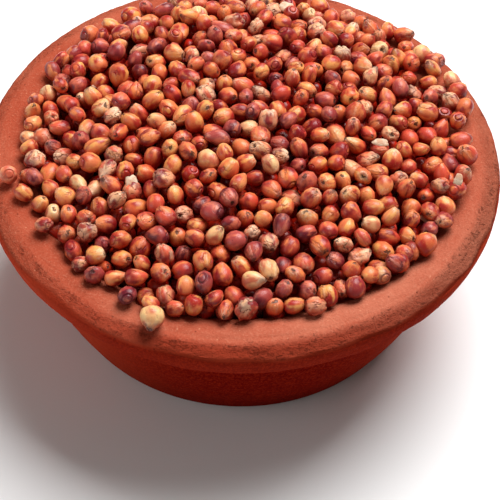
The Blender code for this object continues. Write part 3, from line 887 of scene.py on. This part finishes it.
STRAY_GRID = (20, 30)
STRAYS = (
    dict(
        name="stray_kernel_left", around=193.9, radius=46.4, height=2.2, size=(3.5, 3.5, 4.0),
        along_lean=-43.0, outward_lean=0.0, coat=(0.88, 0.29, 0.135), habit=(-0.6, 0.1, 0.31),
        look="ringed", slot="sorghum_grain", seed=5,
    ),
    dict(
        name="stray_kernel_front", around=251.5, radius=47.7, height=2.5, size=(4.5, 4.8, 4.6),
        along_lean=12.0, outward_lean=-80.0, coat=(0.90, 0.46, 0.20), habit=(-0.1, 0.2, 0.94),
        look="pale", slot="pale_sorghum_grain", seed=536,
    ),
)
for stray in STRAYS:
    stand = (
        Matrix.Rotation(math.radians(stray["around"]), 4, "Z")
        @ Matrix.Translation((stray["radius"] * MM, 0.0, BOWL_HEIGHT + stray["height"] * MM))
        @ Matrix.Rotation(math.radians(stray["outward_lean"]), 4, "Y")
        @ Matrix.Rotation(math.radians(stray["along_lean"]), 4, "X")
    )
    mesh = kernel_mesh(
        stray["name"] + "_seed", STRAY_GRID,
        np.array(stand.translation)[None], np.array(stand.to_3x3())[None],
        np.array((stray["size"],)) * MM, np.array((stray["coat"],)), np.array((stray["habit"],)),
        np.random.default_rng(stray["seed"]),
    )
    coat = seed_coat(stray["name"] + "_coat", *LOOKS[stray["look"]])
    place(stray["name"] + "_seed", mesh, coat, stray["slot"], stray["name"])


# The setting: a plain pale table, a large soft light high behind the bowl and to its right, a
# weak one from the front, and the camera where the picture was taken from.

TABLE_REACH = 4.0
quarters = (-1, -1), (1, -1), (1, 1), (-1, 1)
corners = [(east * TABLE_REACH, north * TABLE_REACH, 0.0) for east, north in quarters]
floor_mesh = bpy.data.meshes.new("table_top")
floor_mesh.from_pydata(corners, [], [(0, 1, 2, 3)])
pale = {"Base Color": (0.86, 0.86, 0.86, 1.0), "Roughness": 0.9}
floor_mesh.materials.append(surfaced("pale_table", specular=0.2, **pale)[0])
floor = bpy.data.objects.new("table_top", floor_mesh)
bpy.context.scene.collection.objects.link(floor)


def soft_light(name, towards, distance, size, power):
    """A square area light in this direction from the lip, facing it."""
    lamp = bpy.data.lights.new(name, "AREA")
    lamp.size, lamp.energy = size, power
    light = bpy.data.objects.new(name, lamp)
    light.location = Vector((0.0, 0.0, BOWL_HEIGHT)) + Vector(towards).normalized() * distance
    light.rotation_euler = Vector(towards).to_track_quat("Z", "Y").to_euler()
    bpy.context.scene.collection.objects.link(light)


soft_light("window", towards=(0.31, 0.46, 1.0), distance=0.7, size=0.50, power=8.9)
soft_light("room", towards=(-1.0, -0.45, 0.40), distance=1.5, size=1.2, power=6.5)
world = bpy.data.worlds.new("room_light")
world.use_nodes = True
sky = world.node_tree.nodes["Background"].inputs
sky["Color"].default_value, sky["Strength"].default_value = (1.0, 0.90, 0.84, 1.0), 0.15
bpy.context.scene.world = world
bpy.context.scene.view_settings.view_transform = "Standard"

CAMERA_PLACE, CAMERA_LENS, SENSOR_WIDTH = (0.0, -0.2171, 0.2607), 112.0, 36.0
TURN_RIGHT, TILT_DOWN, LEAN = math.radians(-0.64), math.radians(49.63), math.radians(2.30)
level = Vector((math.cos(TURN_RIGHT), math.sin(TURN_RIGHT), 0.0))
behind = Vector((math.sin(TURN_RIGHT), -math.cos(TURN_RIGHT), 0.0))
back = behind * math.cos(TILT_DOWN) + Vector((0.0, 0.0, math.sin(TILT_DOWN)))
right = level * math.cos(LEAN) + back.cross(level) * math.sin(LEAN)
camera_data = bpy.data.cameras.new("camera")
camera_data.lens, camera_data.sensor_width, camera_data.clip_start = CAMERA_LENS, SENSOR_WIDTH, 0.01
camera = bpy.data.objects.new("camera", camera_data)
facing_bowl = Matrix((right, back.cross(right), back)).transposed().to_4x4()
camera.matrix_world = Matrix.Translation(CAMERA_PLACE) @ facing_bowl
bpy.context.scene.collection.objects.link(camera)
bpy.context.scene.camera = camera
